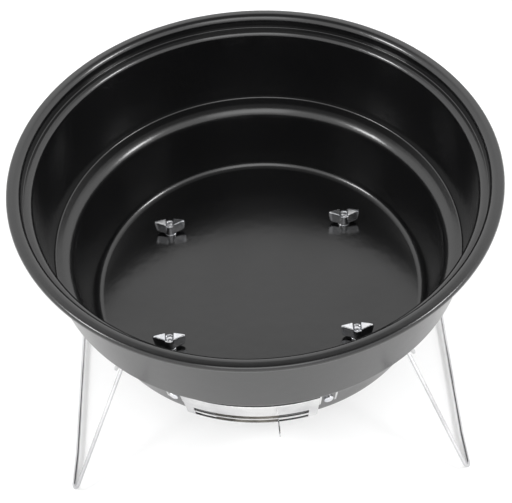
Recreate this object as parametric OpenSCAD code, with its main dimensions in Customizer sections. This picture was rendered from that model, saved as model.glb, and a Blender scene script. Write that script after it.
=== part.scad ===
// Portable charcoal fire bowl on two folding wire legs, with a sliding vent damper in its lower wall.
// Origin: on the bowl's axis, at the ground the feet stand on. +Z up, the vent at the front (-Y).

/* [Bowl] */
// Outer diameter over the rim
rim_d = 280.4; // [230:0.2:345]
// Height of the rim's inner corner above the ground, before its bend rounds it off
rim_h = 164.9; // [130:0.1:200]
// Thickness of the pressed sheet
skin_t = 0.9; // [0.7:0.05:1.1]
// Width of the rim from its outer edge to the throat
rim_w = 8.1; // [7:0.1:11]
// How much the rim's top falls from the throat to the outer edge
rim_fall = 0.7; // [0:0.1:1.5]
// Depth of the rim's folded outer edge
edge_drop = 4.3; // [4:0.1:6]
// Depth of the grill ledge below the crest
grill_ledge_drop = 8.9; // [7.5:0.1:12]
// Width of the grill ledge
grill_ledge_w = 5.1; // [4.6:0.1:8]
// Depth of the shoulder below the crest, where the upper wall ends
shoulder_drop = 59.4; // [45:0.1:66]
// How much the upper wall narrows from the grill ledge to the shoulder
upper_taper = 5.3; // [3:0.1:9]
// Width of the shoulder
shoulder_w = 10.3; // [9.5:0.1:15]
// Fall of the shoulder towards the middle
shoulder_fall = 1; // [0:0.1:3]
// Depth of the floor below the crest
floor_drop = 103.5; // [98:0.1:110]
// How much the lower wall narrows from the shoulder to the floor
lower_taper = 9.4; // [6:0.1:14]

/* [Vent] */
// Direction of the vent's middle, seen from above, from the front towards the right
vent_turn = -5.3; // [-12:0.1:12]
// Height of the vent frame's lower edge above the underside of the floor
vent_foot = -0.4; // [-1:0.1:2]
// Height of the vent frame
vent_h = 23; // [20:0.2:26]
// Half the angle that the frame's slots span
slot_half_a = 18.1; // [14:0.1:22]
// Height of each slot
slot_h = 4; // [3:0.1:4]
// Height of the bar between the two rows of slots
slot_bar = 1.4; // [1.2:0.1:2]
// Height of the frame below its lower slot
slot_sill = 1.2; // [1.2:0.1:3]
// Angle that each end post of the frame spans
post_a = 3.2; // [3:0.1:6]
// Angle that each riveted ear spans
ear_a = 6; // [5:0.1:8]
// Height of the ears
ear_h = 12; // [9:0.1:13]
// Sheet thickness of the frame
frame_t = 0.8; // [0.6:0.05:1]
// Sheet thickness of the damper
damper_t = 0.6; // [0.5:0.05:0.8]
// Angle that the damper plate spans
damper_a = 20; // [19.4:0.1:22]
// How far the damper's thumb tab stands out of the frame
tab_reach = 9; // [6:0.5:14]
// Radius of the rivets
rivet_r = 1.5; // [1.2:0.1:1.8]

/* [Legs] */
// Diameter of the leg wire
wire_d = 2.2; // [2:0.1:3]
// Distance of the hinge line from the middle
hinge_x = 85; // [80:0.5:90]
// Distance between a leg's two bolts
bolt_pitch_y = 92.4; // [84:0.2:96]
// Distance between the left and the right bolts
bolt_pitch_x = 112.6; // [100:0.2:124]
// Lean of the legs from upright
splay = 33; // [20:0.5:40]
// Distance between the corners of a leg's two feet
foot_pitch = 224; // [180:1:230]
// Height of the rail between the feet above the feet
rail_lift = 3.6; // [2:0.1:6]
// Distance from a foot corner to the bend where the rail is level
rail_bend = 29; // [20:1:40]
// Centre-line radius of the foot corners
foot_r = 4; // [3:0.1:8]

/* [Leg brackets] */
// Sheet thickness of the brackets
bracket_t = 1.2; // [1:0.1:1.6]
// Width of the brackets
bracket_w = 16; // [14:0.2:20]
// Distance from the floor's underside down to the hinge line
hinge_drop = 5; // [4.6:0.1:7]
// How far the wire's pin reaches past the eye
pin_over = 3; // [2:0.1:6]

/* [Fasteners] */
// Diameter of the bolts
bolt_d = 4; // [3:0.1:5]
// Diameter of the bolt heads
bolt_head_d = 8; // [7:0.1:9]
// Height of the bolt heads
bolt_head_h = 2.4; // [2:0.1:3]
// Diameter of the washers
washer_d = 8.4; // [8:0.1:12]
// Thickness of the washers
washer_t = 0.8; // [0.5:0.1:1.2]
// Span of the wing nuts over both wings
wing_span = 20; // [18:0.2:24]
// Height of the wing nuts
wing_h = 9.5; // [8:0.1:12]
// Length of bolt that shows above the wing nut's hub
bolt_over = 2.4; // [1:0.1:4]

/* [Clearances] */
// Gap round a wire pin in its eye
pin_gap = 0.06; // [0.04:0.01:0.1]
// Gap round the damper where it slides
slide_gap = 0.35; // [0.3:0.01:0.5]
// Gap round a bolt in the sheet metal
bolt_gap = 0.3; // [0.2:0.05:0.5]
// Gap round a bolt in its nut
thread_gap = 0.04; // [0.02:0.01:0.08]

/* [Hidden] */

enamel_colour = [0.07, 0.07, 0.075];
chrome_colour = [0.82, 0.82, 0.84];
$fn = 96;
arc_steps = 8;      // points per rounded bend of the pressed sheet
eps = 0.01;         // overlap of a cut past the face it opens
through = 1;        // how far a through cut runs past each face

// Radii and heights of the bowl's inner surface
rim_r = rim_d / 2;
throat_r = rim_r - rim_w;                               // inner side of the rim
grill_ledge_z = rim_h - grill_ledge_drop;
upper_r = throat_r - grill_ledge_w;                     // top of the upper wall
shoulder_z = rim_h - shoulder_drop;
shoulder_out_r = upper_r - upper_taper;
shoulder_in_r = shoulder_out_r - shoulder_w;
floor_z = rim_h - floor_drop;
floor_r = shoulder_in_r - lower_taper;
under_z = floor_z - skin_t;                             // underside of the floor

// Bend radii of the pressed sheet, on its inner surface
edge_fold_r = 1.4;                                      // under the rim's outer edge
edge_top_r = 2;
throat_bend = 4;
ledge_in_bend = 0.5;                                    // between throat and grill ledge
ledge_out_bend = 3.5;                                   // between grill ledge and upper wall
shoulder_out_bend = 1.2;
shoulder_in_bend = 9;
floor_bend = 5;
fold_w = 3.2;                                           // how far the folded edge runs back under the rim

// ---- Path helpers: a path is a list of [radius, height] points ----

function unit(v) = v / norm(v);
function left_of(v) = [-v.y, v.x];

// Arc of radius r round centre c, from angle a0 to angle a1
function arc(c, r, a0, a1, steps = arc_steps) =
    [for (i = [0:steps]) c + r * [cos(a0 + (a1 - a0) * i / steps), sin(a0 + (a1 - a0) * i / steps)]];

// Turn from angle a to angle b the short way round
function short_turn(a, b) = (b - a + 540) % 360 - 180;

// Data of the round bend of radius r at corner b between a and c: [centre, start angle, turn, start, end]
function bend(a, b, c, r) =
    let (u = unit(a - b), v = unit(c - b), half = acos(u * v) / 2,
         centre = b + unit(u + v) * r / sin(half),
         p = b + u * r / tan(half), q = b + v * r / tan(half),
         start = atan2(p.y - centre.y, p.x - centre.x), stop = atan2(q.y - centre.y, q.x - centre.x))
    [centre, start, short_turn(start, stop), p, q];

function bend_points(a, b, c, r) =
    let (k = bend(a, b, c, r)) arc(k[0], r, k[1], k[1] + k[2]);

// Path moved to its left by t, each point along the mean of its two neighbours' normals
function offset_path(path, t) =
    let (n = len(path) - 1,
         normals = [for (i = [0:n - 1]) left_of(unit(path[i + 1] - path[i]))])
    [for (i = [0:n])
        let (before = normals[max(i - 1, 0)], after = normals[min(i, n - 1)],
             mean = unit(before + after))
        path[i] + mean * t / (mean * before)];

// ---- Bowl ----

// Corners of the sheet's inner surface, from the folded edge to the middle of the floor
skin_corners = [
    [rim_r - fold_w, rim_h - edge_drop],
    [rim_r, rim_h - edge_drop],
    [rim_r, rim_h - rim_fall],
    [throat_r, rim_h],
    [throat_r, grill_ledge_z],
    [upper_r, grill_ledge_z],
    [shoulder_out_r, shoulder_z],
    [shoulder_in_r, shoulder_z - shoulder_fall],
    [floor_r, floor_z],
    [0, floor_z]];
skin_bends = [edge_fold_r, edge_top_r, throat_bend, ledge_in_bend, ledge_out_bend,
              shoulder_out_bend, shoulder_in_bend, floor_bend];

skin_path = concat(
    [skin_corners[0]],
    [for (i = [1:len(skin_bends)])
        each bend_points(skin_corners[i - 1], skin_corners[i], skin_corners[i + 1], skin_bends[i - 1])],
    [skin_corners[len(skin_bends) + 1]]);

shoulder_in = skin_corners[7];
floor_edge = skin_corners[8];

// Outer surface of the lower wall: its radius at height z, and its slant from upright
lower_slant = atan((shoulder_in.x - floor_edge.x) / (shoulder_in.y - floor_edge.y));
function wall_r(z) = floor_edge.x + (z - floor_edge.y) * tan(lower_slant) + skin_t / cos(lower_slant);

// Bolt positions: [side, end], side 1 right, end -1 front
function bolt_xy(side, end) = [side * bolt_pitch_x / 2, end * bolt_pitch_y / 2];

bolt_hole_r = bolt_d / 2 + bolt_gap;

module fire_bowl() {
    color(enamel_colour)
    difference() {
        rotate_extrude() polygon(concat(skin_path, reverse(offset_path(skin_path, skin_t))));
        for (side = [-1, 1], end = [-1, 1])
            translate([bolt_xy(side, end).x, bolt_xy(side, end).y, under_z - through])
                cylinder(r = bolt_hole_r, h = skin_t + 2 * through);
        for (half = [-1, 1], row = [0, 1])
            wall_sector(vent_turn + half * (slot_half_a + web_half_a) / 2,
                        (slot_half_a - web_half_a) / 2 - port_inset_a,
                        max(slot_z(row), port_floor_z), slot_z(row) + slot_h, -port_depth, port_depth);
        for (side = [-1, 1]) rivet_bore(side);
    }
}

function reverse(list) = [for (i = [len(list) - 1:-1:0]) list[i]];

// ---- Vent ----

vent_z = under_z + vent_foot;
vent_top_z = vent_z + vent_h;
frame_in = damper_t + 2 * slide_gap;                    // frame's inner face, from the wall
frame_out = frame_in + frame_t;
frame_half_a = slot_half_a + post_a;
ear_mid_a = frame_half_a + ear_a / 2;
web_half_a = 1;                                         // sheet left between the bowl's two pairs of ports
port_inset_a = 0.8;                                     // the ports stop short of the frame's slots
port_floor_z = floor_z + 1.5;                           // and start above the floor
port_depth = 3 * skin_t;                                // cut either way from the wall's outer face
post_web_a = frame_t / wall_r(vent_z) * 180 / PI;       // the frame's thickness as an angle
frame_seat = 0.02;                                      // the frame's edges bear on the wall

function slot_z(row) = vent_z + slot_sill + row * (slot_h + slot_bar);

// A curved slab that follows the lower wall, mid_a to the right of the front, half_a either way,
// from height z0 to z1 and from distance d0 to d1 outside the wall
module wall_sector(mid_a, half_a, z0, z1, d0, d1) {
    k = 1 / cos(lower_slant);
    rotate([0, 0, mid_a - 90 - half_a])
        rotate_extrude(angle = 2 * half_a)
            polygon([[wall_r(z0) + d0 * k, z0], [wall_r(z0) + d1 * k, z0],
                     [wall_r(z1) + d1 * k, z1], [wall_r(z1) + d0 * k, z1]]);
}

rivet_z = vent_top_z - ear_h / 2;
rivet_bore_half = 5;

// Places children at an ear's middle, with +Z out along the wall's normal
module at_ear(side) {
    a = vent_turn + side * ear_mid_a - 90;
    rotate([0, 0, a]) translate([wall_r(rivet_z), 0, rivet_z]) rotate([0, 90 + lower_slant, 0]) children();
}

module rivet_bore(side) {
    at_ear(side) translate([0, 0, -rivet_bore_half]) cylinder(r = rivet_r, h = 2 * rivet_bore_half);
}

module vent_frame() {
    color(chrome_colour)
    difference() {
        union() {
            // raised face, with its top and bottom lips and its two end walls turned in to the bowl
            wall_sector(vent_turn, frame_half_a, vent_z, vent_top_z, frame_in, frame_out);
            wall_sector(vent_turn, frame_half_a, vent_z, vent_z + frame_t, frame_seat, frame_out);
            wall_sector(vent_turn, frame_half_a, vent_top_z - frame_t, vent_top_z, frame_seat, frame_out);
            for (side = [-1, 1]) {
                wall_sector(vent_turn + side * (frame_half_a - post_web_a / 2), post_web_a / 2,
                            vent_z, vent_top_z, frame_seat, frame_out);
                wall_sector(vent_turn + side * ear_mid_a, ear_a / 2 + post_web_a / 2,
                            vent_top_z - ear_h, vent_top_z, frame_seat, frame_t);
            }
        }
        for (row = [0, 1])
            wall_sector(vent_turn, slot_half_a, slot_z(row), slot_z(row) + slot_h,
                        frame_in - frame_t / 2, frame_out + frame_t);
        for (side = [-1, 1]) rivet_bore(side);
    }
}

// Damper: its plate fills the channel's height, and its thumb tab comes out through the lower slots
damper_z0 = vent_z + frame_t + slide_gap;
damper_over = 2;                                        // the plate's height above the upper slot
damper_z1 = slot_z(1) + slot_h + damper_over;
tab_t = 0.8;                                            // the tab's thickness
tab_half_a = tab_t / wall_r(vent_z) * 90 / PI;
damper_end_a = 3.4;                                     // the tab's edge of the plate, from the front
damper_mid_a = damper_end_a - damper_a / 2;

module vent_damper() {
    color(chrome_colour) {
        wall_sector(damper_mid_a, damper_a / 2, damper_z0, damper_z1, slide_gap, slide_gap + damper_t);
        wall_sector(damper_end_a - tab_half_a, tab_half_a,
                    slot_z(0) + slide_gap, slot_z(0) + slot_h - slide_gap,
                    slide_gap + damper_t / 2, frame_out + tab_reach);
    }
}

// Rivet: a low dome outside, a shank through ear and wall, and a clenched head inside
rivet_head_r = 1.9 * rivet_r;
rivet_head_h = 0.8 * rivet_r;
head_lift = 0.08;                                       // keeps the flat inner head off the curved wall

module vent_rivet(side) {
    color(chrome_colour)
    at_ear(side) {
        translate([0, 0, -skin_t - head_lift]) cylinder(r = rivet_r, h = skin_t + frame_t + head_lift + eps);
        translate([0, 0, frame_t]) rivet_dome();
        translate([0, 0, -skin_t - head_lift]) rotate([180, 0, 0]) rivet_dome();
    }
}

module rivet_dome() {
    rotate_extrude()
        polygon(concat([[0, 0]], arc([0, 0], 1, 0, 90)
            * [[rivet_head_r, 0], [0, rivet_head_h]]));
}

// ---- Fasteners ----

bracket_z = under_z - bracket_t;
wing_hub_h = 4.6;
wing_hub_r = 0.9 * bolt_d;
hub_foot_flare = 0.5;                                   // the hub is wider at its foot
hub_top_inset = 0.3;                                    // and narrower at its top
wing_t = 2;
wing_tip_r = 3.2;
wing_root_w = 0.8;                                      // the wing's root, inside the hub
wing_root_in = 1.2;
wing_root_z = 0.8;
recess_w = 0.9;                                         // the head's cross recess
recess_depth = 1.2;
recess_share = 0.6;                                     // its span as a share of the head
nut_z = floor_z + washer_t;

module bolt(side, end) {
    p = bolt_xy(side, end);
    color(chrome_colour)
    translate([p.x, p.y, 0]) {
        translate([0, 0, bracket_z]) cylinder(d = bolt_d, h = nut_z + wing_hub_h + bolt_over - bracket_z);
        difference() {
            translate([0, 0, bracket_z - bolt_head_h]) cylinder(d = bolt_head_d, h = bolt_head_h);
            translate([0, 0, bracket_z - bolt_head_h - eps])
                for (turn = [0, 90])
                    rotate([0, 0, turn])
                        cube([recess_share * bolt_head_d, recess_w, 2 * recess_depth], center = true);
        }
    }
}

module washer(side, end) {
    p = bolt_xy(side, end);
    color(chrome_colour)
    translate([p.x, p.y, floor_z]) difference() {
        cylinder(d = washer_d, h = washer_t);
        translate([0, 0, -through]) cylinder(r = bolt_hole_r, h = washer_t + 2 * through);
    }
}

// Outline of one wing, standing in the X-Z plane: a round thumb piece and a web back to the hub
module wing_outline() {
    hull() {
        translate([wing_hub_r - wing_root_in, wing_root_z])
            square([wing_root_w, wing_hub_h - 1.5 * wing_root_z]);
        translate([wing_span / 2 - wing_tip_r, wing_h - wing_tip_r]) circle(r = wing_tip_r, $fn = 32);
    }
}

module wing_nut(side, end) {
    p = bolt_xy(side, end);
    color(chrome_colour)
    translate([p.x, p.y, nut_z]) difference() {
        union() {
            cylinder(r1 = wing_hub_r + hub_foot_flare, r2 = wing_hub_r - hub_top_inset, h = wing_hub_h);
            for (turn = [0, 180])
                rotate([0, 0, turn]) rotate([90, 0, 0])
                    translate([0, 0, -wing_t / 2]) linear_extrude(wing_t) wing_outline();
        }
        translate([0, 0, -through]) cylinder(r = bolt_d / 2 + thread_gap, h = wing_h + 2 * through);
    }
}

// ---- Legs ----

hinge_z = under_z - hinge_drop;
wire_r = wire_d / 2;
eye_in_r = wire_r + pin_gap;
eye_out_r = eye_in_r + bracket_t;
arm_gap = 0.4;                                          // between the eye's end and the leg's arm
stop_gap = 0.1;                                         // between the arm and its stop

// Along the hinge line, distances from the middle: bracket edges, eye, arm and pin end
bracket_y0 = bolt_pitch_y / 2 - bracket_w / 2;
bracket_y1 = bolt_pitch_y / 2 + bracket_w / 2;
eye_y1 = bracket_y1 - wire_d - 3 * arm_gap;
arm_y = eye_y1 + arm_gap + wire_r;
pin_y = bracket_y0 - pin_over;
pin_len = eye_y1 + arm_gap / 2 - pin_y;

// Length of a leg from hinge line to the underside of its feet, down its own plane
leg_len = (hinge_z - wire_r) / cos(splay);
settle_times = 6;
arm_bend_r = 1.4 * wire_d;

// Corners of one half of the wire in its own plane, as [down the leg, along the hinge line],
// when its foot corner stands foot_u down the leg
function half_corners(foot_u) = [
    [0, pin_y], [0, arm_y], [foot_u, foot_pitch / 2],
    [foot_u - rail_lift, foot_pitch / 2 - rail_bend]];

// How far down the leg the rounded foot reaches
function foot_reach(foot_u) =
    let (c = half_corners(foot_u)) bend(c[1], c[2], c[3], foot_r)[0].x + foot_r;

// Foot corner that brings the rounded foot to the ground, found by correcting it a few times
function settle_foot(foot_u, times = settle_times) =
    times == 0 ? foot_u : settle_foot(foot_u + leg_len - foot_reach(foot_u), times - 1);

half = half_corners(settle_foot(leg_len));
rail_bend_r = 16;
bend_radii = [arm_bend_r, foot_r, rail_bend_r];
pin_grip = 1;                                           // the bent wire starts inside its pin
wire_inset = 0.03;                                      // and is a hair thinner, so the pin holds it
wire_sides = 16;

// One half's centre line: from inside its pin, round its bends, to the middle of the rail
half_line = concat(
    [[0, pin_y + pin_grip]],
    bend_points(half[0], half[1], half[2], bend_radii[0]),
    bend_points(half[1], half[2], half[3], bend_radii[1]),
    bend_points(half[2], half[3], [half[3].x, 0], bend_radii[2]));
wire_line = concat(half_line, [for (p = reverse(half_line)) [p.x, -p.y]]);

// Tube round a flat centre line, one ring of points to each point of the line
module tube(line, r, sides) {
    n = len(line);
    rings = [for (i = [0:n - 1])
        let (ahead = unit(line[min(i + 1, n - 1)] - line[max(i - 1, 0)]), across = left_of(ahead))
        for (k = [0:sides - 1])
            let (a = 360 * k / sides)
            [line[i].x + across.x * r * cos(a), line[i].y + across.y * r * cos(a), r * sin(a)]];
    walls = [for (i = [0:n - 2], k = [0:sides - 1])
        let (j = (k + 1) % sides)
        [i * sides + k, (i + 1) * sides + k, (i + 1) * sides + j, i * sides + j]];
    first = [for (k = [0:sides - 1]) k];
    last = [for (k = [0:sides - 1]) (n - 1) * sides + sides - 1 - k];
    polyhedron(points = rings, faces = concat(walls, [first, last]));
}

module bent_wire() {
    tube(wire_line, wire_r - wire_inset, wire_sides);
    for (end = [-1, 1])
        rotate([end * -90, 0, 0]) translate([0, 0, pin_y]) cylinder(r = wire_r, h = pin_len);
}

// The leg's own plane turned about the hinge line, so that its X runs down the leg
module leg(side) {
    color(chrome_colour)
    rotate([0, 0, side > 0 ? 0 : 180]) translate([hinge_x, 0, hinge_z])
        rotate([0, 90 - splay, 0]) bent_wire();
}

// Bracket: a strip under the floor, held by its bolt, rolled into an eye for the leg's pin,
// with a tongue beside the eye that stops the leg from leaning out further
tongue_reach = 8;
tongue_inset = 0.3;                                     // it stops a little short of the strip's side
tongue_w = bracket_y1 - eye_y1 - arm_gap / 2 - tongue_inset;
tongue_sink = 0.7;                                      // share of the strip's thickness it runs up into
bracket_in = 8;                                         // strip past the bolt, towards the middle
neck_inset = 0.15;                                      // the neck stands a little inside the eye's flank

// How far the tongue runs back up past the hinge line, to end inside the strip
tongue_rise = (bracket_z + tongue_sink * bracket_t - hinge_z
    - (wire_r + stop_gap + bracket_t) * sin(splay)) / cos(splay);

module bracket(side, end) {
    strip_x0 = bolt_pitch_x / 2 - bracket_in;
    color(chrome_colour)
    rotate([0, 0, side > 0 ? 0 : 180]) mirror([0, side * end > 0 ? 0 : 1, 0]) {
        difference() {
            union() {
                translate([strip_x0, bracket_y0, bracket_z]) cube([hinge_x - strip_x0, bracket_w, bracket_t]);
                // eye, with the neck that carries it below the strip
                translate([hinge_x, bracket_y0, hinge_z]) rotate([-90, 0, 0])
                    cylinder(r = eye_out_r, h = eye_y1 - bracket_y0);
                translate([hinge_x - eye_out_r + neck_inset, bracket_y0, hinge_z])
                    cube([bracket_t, eye_y1 - bracket_y0, bracket_z - hinge_z + bracket_t / 2]);
            }
            translate([hinge_x, bracket_y0 - through, hinge_z]) rotate([-90, 0, 0])
                cylinder(r = eye_in_r, h = bracket_w + 2 * through);
            translate([bolt_pitch_x / 2, bolt_pitch_y / 2, bracket_z - through])
                cylinder(r = bolt_hole_r, h = bracket_t + 2 * through);
        }
        // stop tongue, parallel to the leg and just outside its arm
        translate([hinge_x, eye_y1 + arm_gap / 2, hinge_z]) rotate([0, 90 - splay, 0])
            translate([-tongue_rise, 0, wire_r + stop_gap])
                cube([tongue_rise + tongue_reach, tongue_w, bracket_t]);
    }
}

fire_bowl();
vent_frame();
vent_damper();
vent_rivet(-1);  // vent_rivet_left
vent_rivet(1);  // vent_rivet_right
leg(-1);  // leg_left
leg(1);  // leg_right
bracket(-1, -1);  // bracket_front_left
bracket(1, -1);  // bracket_front_right
bracket(-1, 1);  // bracket_back_left
bracket(1, 1);  // bracket_back_right
bolt(-1, -1);  // bolt_front_left
bolt(1, -1);  // bolt_front_right
bolt(-1, 1);  // bolt_back_left
bolt(1, 1);  // bolt_back_right
washer(-1, -1);  // washer_front_left
washer(1, -1);  // washer_front_right
washer(-1, 1);  // washer_back_left
washer(1, 1);  // washer_back_right
wing_nut(-1, -1);  // wing_nut_front_left
wing_nut(1, -1);  // wing_nut_front_right
wing_nut(-1, 1);  // wing_nut_back_left
wing_nut(1, 1);  // wing_nut_back_right
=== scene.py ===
# %% [markdown]
# # A portable charcoal fire bowl
# The object is a black enamelled steel bowl that stands on two folding wire legs. A chrome
# vent with a sliding damper sits low at the front, and four wing nuts on the bowl's floor
# hold the leg brackets underneath. The engineering model is loaded first and never moved:
# every piece made here takes its size and place from it.

import bmesh
import bpy
import numpy as np
from mathutils import Matrix, Vector


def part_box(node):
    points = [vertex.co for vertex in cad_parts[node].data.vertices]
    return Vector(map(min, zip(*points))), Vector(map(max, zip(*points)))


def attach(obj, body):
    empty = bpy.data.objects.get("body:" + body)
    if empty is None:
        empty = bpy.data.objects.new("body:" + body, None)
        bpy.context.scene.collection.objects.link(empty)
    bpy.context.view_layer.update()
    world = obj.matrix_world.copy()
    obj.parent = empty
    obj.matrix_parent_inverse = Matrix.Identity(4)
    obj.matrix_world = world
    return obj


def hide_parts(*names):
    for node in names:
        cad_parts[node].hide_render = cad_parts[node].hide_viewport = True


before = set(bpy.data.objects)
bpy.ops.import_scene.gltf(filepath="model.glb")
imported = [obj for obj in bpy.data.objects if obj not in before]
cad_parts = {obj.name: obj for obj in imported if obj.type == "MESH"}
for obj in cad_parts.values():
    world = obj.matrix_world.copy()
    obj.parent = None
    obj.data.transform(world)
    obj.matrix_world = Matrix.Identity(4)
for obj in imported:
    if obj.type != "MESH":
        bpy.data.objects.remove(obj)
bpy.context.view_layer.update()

# %% [markdown]
# ## Sizes
# The pieces' places are read from the loaded parts. What a box can't say, such as a bend
# radius or a sheet's thickness, is a named value in millimetres, turned into metres once.

# %% Sizes of the bowl
MM = 0.001

bowl_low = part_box("fire_bowl")[0]
UNDER = bowl_low.z
RIM_R = 140.2 * MM
SKIN = 0.9 * MM
FLOOR = UNDER + SKIN
RIM_TOP = FLOOR + 103.5 * MM
RIM_W = 8.1 * MM
RIM_FALL = 0.7 * MM
EDGE_DROP = 4.3 * MM
FOLD_W = 3.2 * MM
LEDGE_DROP = 8.9 * MM
LEDGE_W = 5.1 * MM
SHOULDER_DROP = 59.4 * MM
UPPER_TAPER = 5.3 * MM
SHOULDER_W = 10.3 * MM
SHOULDER_FALL = 1 * MM
LOWER_TAPER = 9.4 * MM
EDGE_BEND, RIM_BEND, THROAT_BEND = 1.4 * MM, 2 * MM, 4 * MM
LEDGE_IN_BEND, LEDGE_OUT_BEND = 0.5 * MM, 3.5 * MM
SHOULDER_OUT_BEND, SHOULDER_IN_BEND, FLOOR_BEND = 1.2 * MM, 9 * MM, 5 * MM

THROAT_R = RIM_R - RIM_W
UPPER_R = THROAT_R - LEDGE_W
SHOULDER_OUT = UPPER_R - UPPER_TAPER
SHOULDER_IN = SHOULDER_OUT - SHOULDER_W
FLOOR_R = SHOULDER_IN - LOWER_TAPER
SHOULDER_Z = RIM_TOP - SHOULDER_DROP
print("rim top", round(RIM_TOP, 4), "floor", round(FLOOR, 4))

# %% [markdown]
# ## Helpers for surfaces
# A pressed or turned part is a line carried along a path. A line is an array of points, a
# surface is a grid of points, and the faces of a grid follow one rule, so whole shapes are
# worked out as arrays and handed to the mesh in one step.

# %% Lines with round bends


def unit(v):
    """A vector divided by its length."""
    v = np.asarray(v, float)
    return v / np.linalg.norm(v)


def arc(centre, radius, start, stop, steps):
    """Points centre + radius * (cos a, sin a), for steps + 1 angles a from start to stop."""
    a = np.linspace(start, stop, steps + 1)
    return np.asarray(centre) + radius * np.column_stack([np.cos(a), np.sin(a)])


def bend(before, corner, after, radius, steps=8):
    """The arc of that radius that touches both sides of a corner, with its centre on their bisector."""
    before, corner, after = (np.asarray(p, float) for p in (before, corner, after))
    u, v = unit(before - corner), unit(after - corner)
    half = np.arccos(np.clip(u @ v, -1, 1)) / 2
    centre = corner + unit(u + v) * radius / np.sin(half)
    first, last = (corner + w * radius / np.tan(half) - centre for w in (u, v))
    start = np.arctan2(first[1], first[0])
    turn = (np.arctan2(last[1], last[0]) - start + np.pi) % (2 * np.pi) - np.pi
    return arc(centre, radius, start, start + turn, steps)


def rounded(corners, radii, steps=6):
    """A line through the corners, each inner corner replaced by a bend of its own radius."""
    inner = [bend(corners[i - 1], corners[i], corners[i + 1], radii[i - 1], steps)
             for i in range(1, len(corners) - 1)]
    return np.vstack([[corners[0]], *inner, [corners[-1]]])


def offset(line, distance):
    """Each point moved along the mean of its neighbours' left-hand normals, so that both
    segments end up that distance away."""
    d = np.diff(line, axis=0)
    normal = np.column_stack([-d[:, 1], d[:, 0]]) / np.linalg.norm(d, axis=1)[:, None]
    before = np.vstack([normal[:1], normal])
    after = np.vstack([normal, normal[-1:]])
    mean = before + after
    mean /= np.linalg.norm(mean, axis=1)[:, None]
    return line + mean * distance / np.sum(mean * before, axis=1)[:, None]


# %% Grids into meshes


def grid_faces(rows, columns, close_rows=False, close_columns=False):
    """Quads of a grid whose point (i, j) has index i * columns + j."""
    i, j = np.meshgrid(np.arange(rows - (not close_rows)),
                       np.arange(columns - (not close_columns)), indexing="ij")
    i, j = i.ravel(), j.ravel()
    i2, j2 = (i + 1) % rows, (j + 1) % columns
    return np.column_stack([i * columns + j, i * columns + j2, i2 * columns + j2, i2 * columns + j])


def make_piece(name, points, faces, material, body, stands_for=(), sharp=35, closed=True):
    """A mesh object from points and faces. Unused points go and doubles merge. The faces of a
    closed surface are then turned outwards, while an open sheet keeps the order it was given."""
    mesh = bpy.data.meshes.new(name)
    mesh.from_pydata(np.asarray(points).reshape(-1, 3).tolist(), [], [list(f) for f in faces])
    work = bmesh.new()
    work.from_mesh(mesh)
    bmesh.ops.delete(work, geom=[v for v in work.verts if not v.link_faces], context="VERTS")
    bmesh.ops.remove_doubles(work, verts=work.verts, dist=1e-7)
    if closed:
        bmesh.ops.recalc_face_normals(work, faces=work.faces)
    work.to_mesh(mesh)
    work.free()
    mesh.shade_smooth()
    mesh.set_sharp_from_angle(angle=np.radians(sharp))
    piece = bpy.data.objects.new(name, mesh)
    bpy.context.scene.collection.objects.link(piece)
    mesh.materials.append(material)
    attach(piece, body)
    if stands_for:
        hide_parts(*stands_for)
    return piece


def lathe(line, angles):
    """The grid of points (r sin a, -r cos a, z): angle 0 faces the front and grows to the right."""
    r, z = line[:, 0], line[:, 1]
    return np.stack([np.outer(r, np.sin(angles)), np.outer(r, -np.cos(angles)),
                     np.outer(z, np.ones_like(angles))], axis=-1)


# %% [markdown]
# ## Materials
# Five finishes cover the whole object. Each one is a Principled shader whose roughness and
# height are broken up by noise, because a perfectly even gloss is what gives a model away.

# %% Node helpers


def new_material(name, colour, metallic, roughness, coat=0.0, coat_roughness=0.05, ior=1.5):
    """A material with its Principled shader, and constant values set on the sockets themselves."""
    material = bpy.data.materials.new(name)
    material.use_nodes = True
    shader = material.node_tree.nodes["Principled BSDF"]
    shader.inputs["Base Color"].default_value = (*colour, 1)
    shader.inputs["Metallic"].default_value = metallic
    shader.inputs["Roughness"].default_value = roughness
    shader.inputs["IOR"].default_value = ior
    shader.inputs["Coat Weight"].default_value = coat
    shader.inputs["Coat Roughness"].default_value = coat_roughness
    return material, shader


def noise(material, scale, detail, coordinate="Object", stretch=(1, 1, 1)):
    """The factor output of a noise texture on the piece's own coordinates, stretched along an axis."""
    nodes, links = material.node_tree.nodes, material.node_tree.links
    coords = nodes.new("ShaderNodeTexCoord")
    mapping = nodes.new("ShaderNodeMapping")
    mapping.inputs["Scale"].default_value = stretch
    texture = nodes.new("ShaderNodeTexNoise")
    texture.inputs["Scale"].default_value = scale
    texture.inputs["Detail"].default_value = detail
    links.new(coords.outputs[coordinate], mapping.inputs["Vector"])
    links.new(mapping.outputs["Vector"], texture.inputs["Vector"])
    return texture.outputs["Fac"]


def spread(material, factor, low, high, from_low=0.3, from_high=0.7):
    """A factor mapped from one range to another."""
    node = material.node_tree.nodes.new("ShaderNodeMapRange")
    node.inputs["From Min"].default_value = from_low
    node.inputs["From Max"].default_value = from_high
    node.inputs["To Min"].default_value = low
    node.inputs["To Max"].default_value = high
    material.node_tree.links.new(factor, node.inputs["Value"])
    return node.outputs["Result"]


def blend_colours(material, factor, one, two):
    """Two colours mixed by a factor."""
    ramp = material.node_tree.nodes.new("ShaderNodeValToRGB")
    ramp.color_ramp.elements[0].position = 0.35
    ramp.color_ramp.elements[1].position = 0.65
    ramp.color_ramp.elements[0].color = (*one, 1)
    ramp.color_ramp.elements[1].color = (*two, 1)
    material.node_tree.links.new(factor, ramp.inputs["Fac"])
    return ramp.outputs["Color"]


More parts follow.
